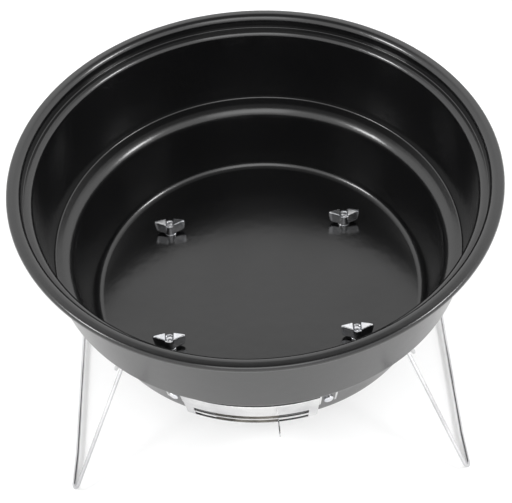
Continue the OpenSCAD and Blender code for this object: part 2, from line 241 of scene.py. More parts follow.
def bump(material, shader, heights):
    """Bumps chained one on another, from pairs of height and depth in metres."""
    nodes, links = material.node_tree.nodes, material.node_tree.links
    last = None
    for height, depth in heights:
        node = nodes.new("ShaderNodeBump")
        node.inputs["Distance"].default_value = depth
        links.new(height, node.inputs["Height"])
        if last:
            links.new(last, node.inputs["Normal"])
        last = node.outputs["Normal"]
    links.new(last, shader.inputs["Normal"])


# %% [markdown]
# The bowl's enamel is a black glass fused on steel. It has a clear gloss, a faint waviness
# called orange peel, specks where the glaze boiled, and hazy patches left by handling.

# %% Black enamel
enamel, shader = new_material("black_enamel", (0.004, 0.004, 0.0045), 0.0, 0.2, ior=1.62)
haze = noise(enamel, 14, 4)
specks = noise(enamel, 900, 2)
enamel.node_tree.links.new(
    blend_colours(enamel, specks, (0.002, 0.002, 0.0022), (0.004, 0.004, 0.0043)),
    shader.inputs["Base Color"])
enamel.node_tree.links.new(spread(enamel, haze, 0.15, 0.24), shader.inputs["Roughness"])
bump(enamel, shader, [(noise(enamel, 160, 2), 0.00006), (specks, 0.00001)])

# %% [markdown]
# The vent and the brackets are bright plated sheet. Rolling leaves a fine grain along the
# strip, so their noise is squeezed in height and drawn out along the length.

# %% Bright sheet
sheet, shader = new_material("bright_sheet", (0.55, 0.55, 0.56), 1.0, 0.2)
grain = noise(sheet, 220, 3, stretch=(1, 1, 12))
cloud = noise(sheet, 60, 3)
sheet.node_tree.links.new(
    blend_colours(sheet, cloud, (0.46, 0.46, 0.47), (0.62, 0.62, 0.62)), shader.inputs["Base Color"])
sheet.node_tree.links.new(spread(sheet, grain, 0.14, 0.28), shader.inputs["Roughness"])
bump(sheet, shader, [(grain, 0.00001), (cloud, 0.00006)])

# %% [markdown]
# The damper slides in the channel behind the frame, where it lies in shade, so its sheet is painted
# darker as painted shade, with a brown tint and darker blotches. It is also rougher than the frame.

# %% Damper sheet, darkened as painted shade
# Painted shade: the dark brownish colour and its darker blotches stand for the shade in the channel
# behind the frame.
shaded_damper_finish, shader = new_material("damper_sheet_painted_shade", (0.12, 0.11, 0.095), 1.0, 0.42)
shade_blotches = noise(shaded_damper_finish, 120, 4)
shaded_damper_finish.node_tree.links.new(
    blend_colours(shaded_damper_finish, shade_blotches, (0.07, 0.065, 0.055), (0.19, 0.175, 0.15)), shader.inputs["Base Color"])
shaded_damper_finish.node_tree.links.new(spread(shaded_damper_finish, shade_blotches, 0.5, 0.32), shader.inputs["Roughness"])
bump(shaded_damper_finish, shader, [(noise(shaded_damper_finish, 300, 3, stretch=(1, 1, 10)), 0.00001), (shade_blotches, 0.00003)])

# %% [markdown]
# The legs are drawn wire, plated after bending. Their grain runs along the wire, so it
# follows the piece's own UV map, with u along the length and v round the wire.

# %% Bright wire
wire_finish, shader = new_material("bright_wire", (0.52, 0.52, 0.53), 1.0, 0.2)
draw_lines = noise(wire_finish, 40, 3, coordinate="UV", stretch=(0.5, 8, 1))
dulling = noise(wire_finish, 30, 4)
wire_finish.node_tree.links.new(
    blend_colours(wire_finish, dulling, (0.42, 0.42, 0.43), (0.60, 0.60, 0.61)),
    shader.inputs["Base Color"])
wire_finish.node_tree.links.new(spread(wire_finish, draw_lines, 0.14, 0.32), shader.inputs["Roughness"])
bump(wire_finish, shader, [(draw_lines, 0.00001)])

# %% [markdown]
# Bolts, washers, wing nuts and rivets are zinc plated, a little bluer and cloudier.

# %% Zinc plate
zinc, shader = new_material("zinc_plate", (0.60, 0.61, 0.63), 1.0, 0.16)
cloud = noise(zinc, 260, 4)
zinc.node_tree.links.new(
    blend_colours(zinc, cloud, (0.54, 0.55, 0.58), (0.70, 0.70, 0.71)), shader.inputs["Base Color"])
zinc.node_tree.links.new(spread(zinc, cloud, 0.10, 0.24), shader.inputs["Roughness"])
bump(zinc, shader, [(noise(zinc, 700, 2), 0.00002)])

# %% [markdown]
# ## The bowl
# One blank of steel is drawn into a stepped bowl and its edge is folded outwards and under. The
# sheet is one line from the folded edge to the middle of the floor, and a second line a sheet's
# thickness away. Both are spun round the axis. The vent's ports are left out of the grid,
# and short faces join the two sides of the sheet round them.

# %% Where the vent sits
VENT_TURN = np.radians(-5.3)
SLOT_HALF = np.radians(18.1)
WEB_HALF = np.radians(1.0)
PORT_INSET = np.radians(0.8)
VENT_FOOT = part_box("vent_frame")[0].z
VENT_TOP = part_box("vent_frame")[1].z
SLOT_SILL = 1.2 * MM
SLOT_H = 4 * MM
SLOT_BAR = 1.4 * MM
PORT_FLOOR = FLOOR + 1.5 * MM


def slot_z(row):
    """The lower edge of a slot, counted from the lowest row."""
    return VENT_FOOT + SLOT_SILL + row * (SLOT_H + SLOT_BAR)


port_heights = [(max(slot_z(row), PORT_FLOOR), slot_z(row) + SLOT_H) for row in (0, 1)]
port_angles = [tuple(sorted((VENT_TURN + side * (WEB_HALF + PORT_INSET),
                             VENT_TURN + side * (SLOT_HALF - PORT_INSET)))) for side in (-1, 1)]

# %% The line of the sheet
corners = [(RIM_R - FOLD_W, RIM_TOP - EDGE_DROP), (RIM_R, RIM_TOP - EDGE_DROP),
           (RIM_R, RIM_TOP - RIM_FALL), (THROAT_R, RIM_TOP),
           (THROAT_R, RIM_TOP - LEDGE_DROP), (UPPER_R, RIM_TOP - LEDGE_DROP),
           (SHOULDER_OUT, SHOULDER_Z), (SHOULDER_IN, SHOULDER_Z - SHOULDER_FALL),
           (FLOOR_R, FLOOR), (0, FLOOR)]
bends = [EDGE_BEND, RIM_BEND, THROAT_BEND, LEDGE_IN_BEND, LEDGE_OUT_BEND,
         SHOULDER_OUT_BEND, SHOULDER_IN_BEND, FLOOR_BEND]
skin_line = rounded(corners, bends, steps=14)[:-1]


def with_heights(line, heights):
    """The line with a point put in at each height, on its lower wall, where heights fall in order."""
    low = np.argmax(line[:, 1] < SHOULDER_Z - SHOULDER_FALL)
    for z in heights:
        i = low + np.argmax(line[low:, 1] < z)
        share = (line[i - 1, 1] - z) / (line[i - 1, 1] - line[i, 1])
        line = np.insert(line, i, line[i - 1] + share * (line[i] - line[i - 1]), axis=0)
    return line


port_edges = sorted({z for pair in port_heights for z in pair}, reverse=True)
skin_line = with_heights(skin_line, port_edges)
back_line = offset(skin_line, SKIN)
back_line[-1, 0] = skin_line[-1, 0]

# %% Spin it, and leave the ports open
edge_angles = [a for pair in port_angles for a in pair]
angles = np.unique(np.concatenate([np.linspace(-np.pi, np.pi, 360, endpoint=False), edge_angles]))
rows, columns = len(skin_line), len(angles)
front_grid = lathe(skin_line, angles)
back_grid = lathe(back_line, angles)
centre_points = np.array([[0, 0, FLOOR], [0, 0, UNDER]])
quads = grid_faces(rows, columns, close_columns=True)

quad_row, quad_column = np.divmod(np.arange(len(quads)), columns)
mid_z = (skin_line[quad_row, 1] + skin_line[np.minimum(quad_row + 1, rows - 1), 1]) / 2
just_inside = 1e-4
mid_a = angles[quad_column] + just_inside
on_lower_wall = quad_row > np.argmax(skin_line[:, 1] < SHOULDER_Z - SHOULDER_FALL)
in_port = np.zeros(len(quads), bool)
for z0, z1 in port_heights:
    for a0, a1 in port_angles:
        in_port |= on_lower_wall & (mid_z > z0) & (mid_z < z1) & (mid_a > a0) & (mid_a < a1)


def outline_of(faces):
    """The edges that only one of these faces has, as pairs of points in the face's own order."""
    pairs = np.vstack([faces[:, [k, (k + 1) % 4]] for k in range(4)])
    keys = np.sort(pairs, axis=1)
    _, where, count = np.unique(keys, axis=0, return_index=True, return_counts=True)
    return pairs[where[count == 1]]


back_start = rows * columns
kept = quads[~in_port]
port_edge = outline_of(quads[in_port])
port_wall = np.column_stack([port_edge, port_edge[:, ::-1] + back_start])
tail = np.arange(columns)
tail_next = (tail + 1) % columns
tail_wall = np.column_stack([tail, tail_next, tail_next + back_start, tail + back_start])
last = (rows - 1) * columns + np.arange(columns)
last_next = (rows - 1) * columns + tail_next
fans = [np.column_stack([last + shift, last_next + shift, np.full(columns, 2 * back_start + k)])
        for k, shift in enumerate((0, back_start))]
bowl_points = np.vstack([front_grid.reshape(-1, 3), back_grid.reshape(-1, 3), centre_points])
bowl_faces = [*kept.tolist(), *(kept + back_start).tolist(), *port_wall.tolist(),
              *tail_wall.tolist(), *fans[0].tolist(), *fans[1].tolist()]
bowl = make_piece("bowl_skin", bowl_points, bowl_faces, enamel, "bowl",
                  ["fire_bowl"], sharp=50)
print("bowl:", len(bowl.data.polygons), "faces,", int(in_port.sum()), "left out for the ports")

# %% [markdown]
# ## The vent
# The vent frame is a shallow tray pressed from sheet, turned upside down on the wall: its
# lips and end walls stand on the bowl and leave a channel behind the two long slots. Its
# surface is a grid over the wall, with the distance from the wall as the smaller of what
# the row's line and the column's line say, which mitres the tray's corners. Cells in the
# slots are left out, Solidify gives the sheet its thickness and Bevel breaks its edges.

# %% Places on the lower wall
SLIDE_GAP = 0.35 * MM
DAMPER_T = 0.6 * MM
FRAME_T = 0.8 * MM
FRAME_IN = DAMPER_T + 2 * SLIDE_GAP
POST = np.radians(3.2)
EAR = np.radians(6)
EAR_H = 12 * MM
FRAME_HALF = SLOT_HALF + POST
LOWER_SLANT = np.arctan((SHOULDER_IN - FLOOR_R) / (SHOULDER_Z - SHOULDER_FALL - FLOOR))


def wall_r(z):
    """The radius of the lower wall's outer face at a height."""
    return FLOOR_R + (z - FLOOR) * np.tan(LOWER_SLANT) + SKIN / np.cos(LOWER_SLANT)


def on_wall(angle, z, distance):
    """Points at an angle and a height, that distance out from the lower wall along its normal."""
    r = wall_r(z) + distance * np.cos(LOWER_SLANT)
    up = z - distance * np.sin(LOWER_SLANT)
    return np.stack(np.broadcast_arrays(r * np.sin(angle), -r * np.cos(angle), up), axis=-1)


WALL_R = wall_r(VENT_FOOT)


def thicken(piece, thickness, edge, segments=2):
    """Solidify along the faces' normals, then a small round on every sharp edge."""
    solid = piece.modifiers.new("thickness", "SOLIDIFY")
    solid.thickness = thickness
    solid.offset = 1
    solid.use_even_offset = True
    edges = piece.modifiers.new("broken_edges", "BEVEL")
    edges.width = edge
    edges.segments = segments
    edges.limit_method = "ANGLE"
    edges.angle_limit = np.radians(50)
    edges.harden_normals = True


# %% Frame
seat = 0.05 * MM
fold = 0.7 * MM
lip_points = 6
post_flat = 1.5 * MM
row_line = rounded([(VENT_FOOT, seat), (VENT_FOOT, FRAME_IN), (VENT_TOP, FRAME_IN), (VENT_TOP, seat)],
                   [fold, fold], steps=4)
row_marks = sorted([slot_z(0), slot_z(0) + SLOT_H, slot_z(1), slot_z(1) + SLOT_H, VENT_TOP - EAR_H])
rows_z = np.concatenate([row_line[:lip_points, 0], row_marks, row_line[lip_points:, 0]])
rows_d = np.concatenate([row_line[:lip_points, 1], [FRAME_IN] * len(row_marks),
                         row_line[lip_points:, 1]])

half_span, ear_span = FRAME_HALF * WALL_R, (FRAME_HALF + EAR) * WALL_R
wall_step = 0.05 * MM
column_line = rounded([(-ear_span, seat), (-half_span, seat), (-half_span + wall_step, FRAME_IN),
                       (half_span - wall_step, FRAME_IN), (half_span, seat), (ear_span, seat)],
                      [fold / 3, fold, fold, fold / 3], steps=4)
slot_span = SLOT_HALF * WALL_R
face_columns = np.unique(np.concatenate([np.linspace(-slot_span, slot_span, 61),
                                         [-half_span + post_flat, half_span - post_flat]]))
beyond_slots = slot_span + 1.6 * MM
left_part = column_line[column_line[:, 0] < -beyond_slots]
right_part = column_line[column_line[:, 0] > beyond_slots]
column_s = np.concatenate([left_part[:, 0], face_columns, right_part[:, 0]])
column_d = np.concatenate([left_part[:, 1], np.full(len(face_columns), FRAME_IN), right_part[:, 1]])

distance = np.minimum(rows_d[:, None], column_d[None, :])
frame_points = on_wall(VENT_TURN + column_s[None, :] / WALL_R, rows_z[:, None], distance)
frame_quads = grid_faces(len(rows_z), len(column_s))
q_row, q_column = frame_quads[:, 0] // len(column_s), frame_quads[:, 0] % len(column_s)
q_z = (rows_z[q_row] + rows_z[q_row + 1]) / 2
q_s = (column_s[q_column] + column_s[q_column + 1]) / 2
in_slot = np.zeros(len(frame_quads), bool)
for row in (0, 1):
    in_slot |= (q_z > slot_z(row)) & (q_z < slot_z(row) + SLOT_H) & (np.abs(q_s) < slot_span)
beyond = (np.abs(q_s) > half_span) & (q_z < VENT_TOP - EAR_H)
flat_row = np.abs(rows_z[q_row + 1] - rows_z[q_row]) < 1e-9
no_ear_lip = flat_row & (np.abs(q_s) > half_span)
# These faces look inwards, so the sheet's thickness grows from here towards the wall.
frame_faces = frame_quads[~(in_slot | beyond | no_ear_lip)][:, ::-1]
vent_frame = make_piece("vent_frame_sheet", frame_points, frame_faces, sheet, "bowl",
                        ["vent_frame"], closed=False)
thicken(vent_frame, FRAME_T, 0.14 * MM)

# %% [markdown]
# The damper is a plain curved plate in that channel. Its end is folded out through the
# lower slot as a thumb tab with round corners.

# %% Damper
DAMPER_SPAN = np.radians(20)
DAMPER_END = np.radians(3.4)
TAB_REACH = 9 * MM
TAB_T = 0.8 * MM
damper_low = VENT_FOOT + FRAME_T + SLIDE_GAP
damper_high = slot_z(1) + SLOT_H + 2 * MM
plate_rows, plate_columns = 6, 34
plate_a = np.linspace(DAMPER_END - DAMPER_SPAN, DAMPER_END, plate_columns)
plate_z = np.linspace(damper_low, damper_high, plate_rows)
plate_points = on_wall(plate_a[None, :], plate_z[:, None], SLIDE_GAP)
# The damper's finish is the sheet darkened as painted shade.
damper = make_piece("vent_damper_sheet", plate_points, grid_faces(plate_rows, plate_columns)[:, ::-1],
                    shaded_damper_finish, "damper", ["vent_damper"], closed=False)
thicken(damper, DAMPER_T, 0.12 * MM)

tab_low, tab_high = slot_z(0) + SLIDE_GAP, slot_z(0) + SLOT_H - SLIDE_GAP
tab_root = SLIDE_GAP + DAMPER_T / 2
tab_end = FRAME_IN + FRAME_T + TAB_REACH
corner_r = 1.2 * MM
tab_outline = np.vstack([[(tab_root, tab_low)],
                         bend((tab_root, tab_low), (tab_end, tab_low), (tab_end, tab_high), corner_r, 6),
                         bend((tab_end, tab_low), (tab_end, tab_high), (tab_root, tab_high), corner_r, 6),
                         [(tab_root, tab_high)]])
across = np.array([DAMPER_END - TAB_T / WALL_R, DAMPER_END])
tab_points = on_wall(across[:, None], tab_outline[None, :, 1], tab_outline[None, :, 0])
tab_count = len(tab_outline)
tab_faces = [*grid_faces(2, tab_count, close_columns=True).tolist(),
             list(range(tab_count)), list(range(2 * tab_count - 1, tab_count - 1, -1))]
tab = make_piece("vent_thumb_tab", tab_points, tab_faces, sheet, "damper")
rounding = tab.modifiers.new("broken_edges", "BEVEL")
rounding.width = 0.15 * MM
rounding.segments = 2
rounding.limit_method = "ANGLE"
rounding.angle_limit = np.radians(50)

# %% [markdown]
# Two rivets hold the frame's ears. A set rivet is a low dome with a small dimple left by the
# riveting tool, outside and inside alike.

# %% Rivets
RIVET_R = 1.5 * MM
HEAD_R, HEAD_H = 1.9 * RIVET_R, 0.8 * RIVET_R
rivet_z = VENT_TOP - EAR_H / 2


def dome_line(radius, height, dimple):
    """Height over the base as an ellipse, less a bell-shaped dimple in the middle."""
    r = radius * np.sin(np.linspace(0, np.pi / 2, 14))
    z = height * np.sqrt(np.clip(1 - (r / radius) ** 2, 0, 1))
    return np.column_stack([r, z - dimple * np.exp(-((r / (0.3 * radius)) ** 2))])


def rivet(side, name):
    """Two domes back to back with the sheets between them, on the ear's own normal."""
    dome = dome_line(HEAD_R, HEAD_H, 0.2 * MM)
    outer = dome + [0, FRAME_T]
    inner = dome[::-1] * [1, -1] - [0, SKIN]
    line = np.vstack([outer, inner])
    angle = VENT_TURN + side * (FRAME_HALF + EAR / 2)
    turn = np.linspace(0, 2 * np.pi, 32, endpoint=False)
    out = np.array([np.sin(angle) * np.cos(LOWER_SLANT), -np.cos(angle) * np.cos(LOWER_SLANT),
                    -np.sin(LOWER_SLANT)])
    side_axis = np.array([np.cos(angle), np.sin(angle), 0])
    up_axis = np.cross(out, side_axis)
    points = (on_wall(angle, rivet_z, 0.0) + line[:, 1, None, None] * out
              + line[:, 0, None, None] * (np.cos(turn)[None, :, None] * side_axis
                                          + np.sin(turn)[None, :, None] * up_axis))
    make_piece(f"{name}_set", points, grid_faces(len(line), 32, close_columns=True), zinc, "bowl",
               [name])


rivet(-1, "vent_rivet_left")
rivet(1, "vent_rivet_right")

# %% [markdown]
# ## The legs
# A leg is one length of wire bent into a frame: a pin, an arm, a foot, the rail along the
# ground, and the same again mirrored. Its centre line is worked out flat, in the leg's own
# plane, as distances down the leg and along the hinge line. A round tube is then carried
# along it, and the plane is leant over about the hinge.

# %% Sizes of the legs
WIRE_R = 1.1 * MM
HINGE_X = 85 * MM
SPLAY = np.radians(33)
FOOT_PITCH = 224 * MM
RAIL_LIFT = 3.6 * MM
RAIL_BEND = 29 * MM
FOOT_R = 4 * MM
ARM_GAP = 0.4 * MM
PIN_GAP = 0.06 * MM
BRACKET_T = 1.2 * MM
BRACKET_W = 16 * MM
HINGE_Z = UNDER - 5 * MM
washer_low, washer_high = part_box("washer_back_right")
BOLT_X, BOLT_Y = (washer_low.x + washer_high.x) / 2, (washer_low.y + washer_high.y) / 2
BRACKET_Y0 = BOLT_Y - BRACKET_W / 2
BRACKET_Y1 = BOLT_Y + BRACKET_W / 2
EYE_Y1 = BRACKET_Y1 - 2 * WIRE_R - 3 * ARM_GAP
ARM_Y = EYE_Y1 + ARM_GAP + WIRE_R
PIN_Y = BRACKET_Y0 - 3 * MM
LEG_LEN = (HINGE_Z - WIRE_R) / np.cos(SPLAY)

# %% Centre line
foot_u = LEG_LEN
foot_y = FOOT_PITCH / 2
for _ in range(6):
    foot = bend((0, ARM_Y), (foot_u, foot_y), (foot_u - RAIL_LIFT, foot_y - RAIL_BEND), FOOT_R, 16)
    foot_u += LEG_LEN - foot[:, 0].max()
rail_u = foot_u - RAIL_LIFT
half_line = rounded([(0, PIN_Y), (0, ARM_Y), (foot_u, foot_y), (rail_u, foot_y - RAIL_BEND), (rail_u, 0)],
                    [2.8 * WIRE_R, FOOT_R, 4 * FOOT_R], steps=14)
wire_line = np.vstack([half_line, half_line[-2::-1] * [1, -1]])
print("leg wire:", round(float(np.linalg.norm(np.diff(wire_line, axis=0), axis=1).sum()), 4), "m long")


def along_plane(side, u, y, w=0.0):
    """Points u down a leg's plane, y along its hinge line and w out of the plane, outwards."""
    x = HINGE_X + u * np.sin(SPLAY) + w * np.cos(SPLAY)
    z = HINGE_Z - u * np.cos(SPLAY) + w * np.sin(SPLAY)
    return np.stack(np.broadcast_arrays(side * x, side * y, z), axis=-1)


def subdivide(line, longest):
    """The line with its long straight stretches cut into equal steps."""
    length = np.linalg.norm(np.diff(line, axis=0), axis=1)
    pieces = [np.linspace(line[i], line[i + 1], max(int(np.ceil(length[i] / longest)), 1), endpoint=False)
              for i in range(len(length))]
    return np.vstack([*pieces, line[-1:]])


# %% Wire
SIDES = 20
CAP_RINGS = 5
BURR = 0.6 * WIRE_R


def wire_tube(name, side, body, node):
    """Rings of radius r(s) round the line at s: point = line + across * r cos a + normal * r sin a.
    r shrinks over the ends as a rounded burr. UV: u is the length along, v the way round."""
    line = subdivide(wire_line, 4 * MM)
    ahead = np.gradient(line, axis=0)
    ahead /= np.linalg.norm(ahead, axis=1)[:, None]
    across = np.column_stack([-ahead[:, 1], ahead[:, 0]])
    cap = np.linspace(0, 1, CAP_RINGS)
    cap_r = np.sqrt(1 - (1 - cap) ** 4 * 0.999)
    head = line[0] + ahead[0] * cap[:, None] * BURR
    tail = line[-1] - ahead[-1] * cap[:, None] * BURR
    middle = slice(1, -1)
    line = np.vstack([head, line[middle], tail[::-1]])
    across = np.vstack([np.repeat(across[:1], CAP_RINGS, 0), across[middle],
                        np.repeat(across[-1:], CAP_RINGS, 0)])
    radius = np.concatenate([cap_r, np.ones(len(line) - 2 * CAP_RINGS), cap_r[::-1]]) * WIRE_R
    a = np.linspace(0, 2 * np.pi, SIDES, endpoint=False)
    u = line[:, 0, None] + across[:, 0, None] * radius[:, None] * np.cos(a)
    y = line[:, 1, None] + across[:, 1, None] * radius[:, None] * np.cos(a)
    w = radius[:, None] * np.sin(a)
    points = along_plane(side, u, y, w)
    rings = len(line)
    faces = grid_faces(rings, SIDES, close_columns=True)
    caps = [list(range(SIDES)), list(range((rings - 1) * SIDES, rings * SIDES))]
    leg = make_piece(name, points, [*faces.tolist(), *caps], wire_finish, body, [node])
    run = np.concatenate([[0], np.cumsum(np.linalg.norm(np.diff(line, axis=0), axis=1))])
    mesh = leg.data
    corner_vertex = np.empty(len(mesh.loops), int)
    mesh.loops.foreach_get("vertex_index", corner_vertex)
    ring, place = np.divmod(corner_vertex, SIDES)
    uv = np.column_stack([run[ring], place / SIDES])
    seam = np.repeat([len(p.vertices) == 4 and {v % SIDES for v in p.vertices} == {0, SIDES - 1}
                      for p in mesh.polygons], [len(p.vertices) for p in mesh.polygons])
    uv[seam & (place == 0), 1] = 1.0
    mesh.uv_layers.new(name="along_wire").data.foreach_set("uv", uv.ravel().astype(np.float32))
    return leg


wire_tube("leg_wire_right", 1, "right_leg", "leg_right")
wire_tube("leg_wire_left", -1, "left_leg", "leg_left")

# %% [markdown]
# ## The leg brackets
# A bracket is a strip of sheet bolted flat under the floor. Most of its width is rolled down
# and round into an eye for the leg's pin. The rest runs on as a tongue beside the eye, and
# the leg's arm comes to rest against it. Both are one line in the leg's cross-section each,
# so a strip's surface is that line carried straight along the hinge, with a thickness.

# %% Bracket lines
BRACKET_Z = UNDER - BRACKET_T
STRIP_X0 = BOLT_X - 8 * MM
EYE_IN = WIRE_R + PIN_GAP
TONGUE_REACH = 8 * MM
STOP_GAP = 0.1 * MM


drop_corner = [(STRIP_X0, UNDER), (HINGE_X - EYE_IN, UNDER), (HINGE_X - EYE_IN, HINGE_Z)]
eye_line = np.vstack([bend(*drop_corner, 2.6 * MM, 8),
                      arc((HINGE_X, HINGE_Z), EYE_IN, np.pi, 2 * np.pi + np.radians(80), 26)])

down_leg = np.array([np.sin(SPLAY), -np.cos(SPLAY)])
off_leg = np.array([np.cos(SPLAY), np.sin(SPLAY)])
tongue_face = WIRE_R + STOP_GAP + BRACKET_T
tongue_mid = np.array([HINGE_X, HINGE_Z]) + off_leg * tongue_face
tongue_end = tongue_mid + down_leg * TONGUE_REACH
tongue_top = tongue_mid - down_leg * (UNDER - tongue_mid[1]) / np.cos(SPLAY)
tongue_line = np.vstack([bend((STRIP_X0, UNDER), tongue_top, tongue_end, 2 * MM, 8), [tongue_end]])

split_x = min(eye_line[0, 0], tongue_line[0, 0]) - 1.5 * MM
flat_line = np.column_stack([[STRIP_X0, STRIP_X0 + 2 * MM, split_x], [UNDER] * 3])
CORNER = 1.2 * MM
corner_steps = CORNER * (1 - np.cos(np.linspace(0, np.pi / 2, 6)))


def cut_corner(y, y0, y1):
    """How far a round corner takes back a strip's end at y: R - sqrt(R^2 - (R - edge distance)^2)."""
    inside = np.clip(np.minimum(y - y0, y1 - y), 0, CORNER)
    return CORNER - np.sqrt(CORNER ** 2 - (CORNER - inside) ** 2)


def bracket(side, end, node):
    """One sheet as three grids that share their edges: the flat strip, the eye and the tongue."""
    eye_rows = np.concatenate([BRACKET_Y0 + corner_steps, [EYE_Y1 - CORNER, EYE_Y1]])
    tongue_y0 = EYE_Y1 + ARM_GAP / 2
    tongue_rows = np.concatenate([tongue_y0 + corner_steps, (BRACKET_Y1 - corner_steps)[::-1]])
    rows = np.concatenate([eye_rows, tongue_rows])
    points, faces = [], []
    for line, ys, cut in [
            (flat_line, rows, cut_corner(rows, BRACKET_Y0, BRACKET_Y1)),
            (np.vstack([flat_line[-1:], eye_line]), eye_rows, None),
            (np.vstack([flat_line[-1:], tongue_line]), tongue_rows, None)]:
        grid = np.empty((len(ys), len(line), 3))
        grid[..., 0], grid[..., 2] = line[:, 0], line[:, 1]
        grid[..., 1] = ys[:, None]
        if cut is not None:
            grid[:, 0, 0] += cut
        elif ys is tongue_rows:
            grid[:, -1, [0, 2]] -= cut_corner(ys, ys[0], ys[-1])[:, None] * down_leg
        faces += (grid_faces(len(ys), len(line)) + sum(len(p) for p in points)).tolist()
        points.append((grid * [side, end, 1]).reshape(-1, 3))
    if side * end > 0:
        faces = [f[::-1] for f in faces]
    piece = make_piece(f"{node}_sheet", np.vstack(points), faces, sheet, "bowl",
                       [node], closed=False)
    thicken(piece, BRACKET_T, 0.18 * MM)
    return piece


# %% Four of each, on their bolts
CORNERS = [("front_left", -1, -1), ("front_right", 1, -1), ("back_left", -1, 1), ("back_right", 1, 1)]
for place, side, end in CORNERS:
    bracket(side, end, f"bracket_{place}")
print("brackets:", len(CORNERS), "with eyes", round(2 * EYE_IN / MM, 2), "mm inside")

# %% [markdown]
# ## The fasteners
# A bolt comes up through each bracket and the floor, with a washer and a wing nut inside the
# bowl. The bolt is one line spun round its axis, and its radius and height are then changed
# by formulas: a helix pressed into the shank for the thread, and a cross pressed into the head.

# %% Bolt
BOLT_R = 2 * MM
PAN_R = 4 * MM
PAN_H = 2.4 * MM
PAN_CROWN = 1.1 * MM
BOLT_TIP = 0.45 * MM
PITCH = 0.7 * MM
THREAD_DEPTH = 0.38 * MM
PLAIN_SHANK = 2 * MM
CROSS_HALF_W, CROSS_HALF_L, CROSS_SOFT, CROSS_DEPTH = 0.55 * MM, 2.1 * MM, 0.16 * MM, 1.2 * MM
WASHER_T = washer_high.z - FLOOR
NUT_Z = FLOOR + WASHER_T
BOLT_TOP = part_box("bolt_back_right")[1].z


def bolt(side, end, node):
    """Pan head and shank as a line (r, z). Thread: r falls by depth * triangle(z / pitch - a / 2 pi).
    Cross: z rises by its depth where |x| or |y| is under half the slot and the other under its length."""
    low = BRACKET_Z - PAN_H
    dome = np.linspace(0, 1, 26)
    head = np.column_stack([PAN_R * dome, low + PAN_CROWN * dome ** 3.2])
    side_line = bend((PAN_R, low), (PAN_R, BRACKET_Z), (BOLT_R, BRACKET_Z), 0.3 * MM, 3)
    shank_z = np.arange(BRACKET_Z, BOLT_TOP - BOLT_TIP, PITCH / 9)
    shank = np.column_stack([np.full(len(shank_z), BOLT_R), shank_z])
    point = [(BOLT_R - 0.12 * MM, BOLT_TOP - BOLT_TIP / 2), (BOLT_R - BOLT_TIP, BOLT_TOP), (0, BOLT_TOP)]
    line = np.vstack([head, side_line, shank, point])
    steps = 72
    a = np.linspace(0, 2 * np.pi, steps, endpoint=False)
    r = np.repeat(line[:, :1], steps, 1)
    z = np.repeat(line[:, 1:], steps, 1)
    wave = np.abs(((z / PITCH - a / (2 * np.pi)) % 1) * 2 - 1)
    fade = (np.clip((z - BRACKET_Z - PLAIN_SHANK) / PITCH, 0, 1)
            * np.clip((BOLT_TOP - z) / (0.6 * PITCH), 0, 1))
    on_shank = np.abs(r - BOLT_R) < 1e-6
    r = np.where(on_shank, r - THREAD_DEPTH * np.clip(1.3 * wave - 0.15, 0, 1) * fade, r)
    x, y = np.abs(r * np.cos(a)), np.abs(r * np.sin(a))
    arm = [np.clip((CROSS_HALF_W - p) / CROSS_SOFT, 0, 1) * np.clip((CROSS_HALF_L - q) / CROSS_SOFT, 0, 1)
           for p, q in ((x, y), (y, x))]
    in_head = (z < BRACKET_Z - 1 * MM) & (r < 0.8 * PAN_R)
    z = z + np.where(in_head, CROSS_DEPTH * np.maximum(*arm), 0)
    points = np.stack([side * BOLT_X + r * np.sin(a), end * BOLT_Y - r * np.cos(a), z], axis=-1)
    return make_piece(f"{node}_threaded", points, grid_faces(len(line), steps, close_columns=True),
                      zinc, "bowl", [node])


# %% Washer


def washer(side, end, node):
    """A ring whose line has a small round at each corner, as a punched washer's edge does."""
    inner, outer = BOLT_R + 0.3 * MM, (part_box(node)[1].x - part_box(node)[0].x) / 2
    box = [(inner, FLOOR), (outer, FLOOR), (outer, NUT_Z), (inner, NUT_Z)]
    line = np.vstack([bend(box[k - 1], box[k], box[(k + 1) % 4], 0.18 * MM, 3) for k in range(4)])
    angles = np.linspace(0, 2 * np.pi, 64, endpoint=False)
    points = lathe(line, angles) + np.array([side * BOLT_X, end * BOLT_Y, 0])
    return make_piece(f"{node}_ring", points, grid_faces(len(line), 64, True, True), zinc, "bowl",
                      [node])


# %% [markdown]
# A wing nut is a casting: a hub that two broad wings grow out of, with every corner softened by
# the mould. Its rough shape is three closed surfaces, a bored hub and two wings. Remesh melts
# them into one skin, and Smooth rounds the corners as the casting does.

# %% Wing nut
HUB_H = BOLT_TOP - NUT_Z - 0.1 * MM
HUB_LOW, HUB_HIGH = 4 * MM, 3.3 * MM
WING_SPAN = 20 * MM
WING_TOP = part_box("wing_nut_back_right")[1].z - NUT_Z
WING_LOW = 1 * MM
WING_ROOT = BOLT_R + 0.3 * MM
WING_DIP = 0.8 * MM
TIP_LEAN, TIP_FLAT = 1 * MM, 2.2 * MM


def wing_outline():
    """A plate between five corners: two in the hub, and round ones below the tip, at the tip and
    where its upper edge starts to dip towards the hub."""
    tip = WING_SPAN / 2
    corners = [(WING_ROOT, WING_TOP - WING_DIP), (WING_ROOT, WING_LOW), (tip - TIP_LEAN, WING_LOW),
               (tip, WING_TOP), (tip - TIP_FLAT, WING_TOP)]
    radii = [0.3 * MM, 0.3 * MM, 2.6 * MM, 1 * MM, 2 * MM]
    count = len(corners)
    return np.vstack([bend(corners[k - 1], corners[k], corners[(k + 1) % count], radii[k], 8)
                      for k in range(count)])


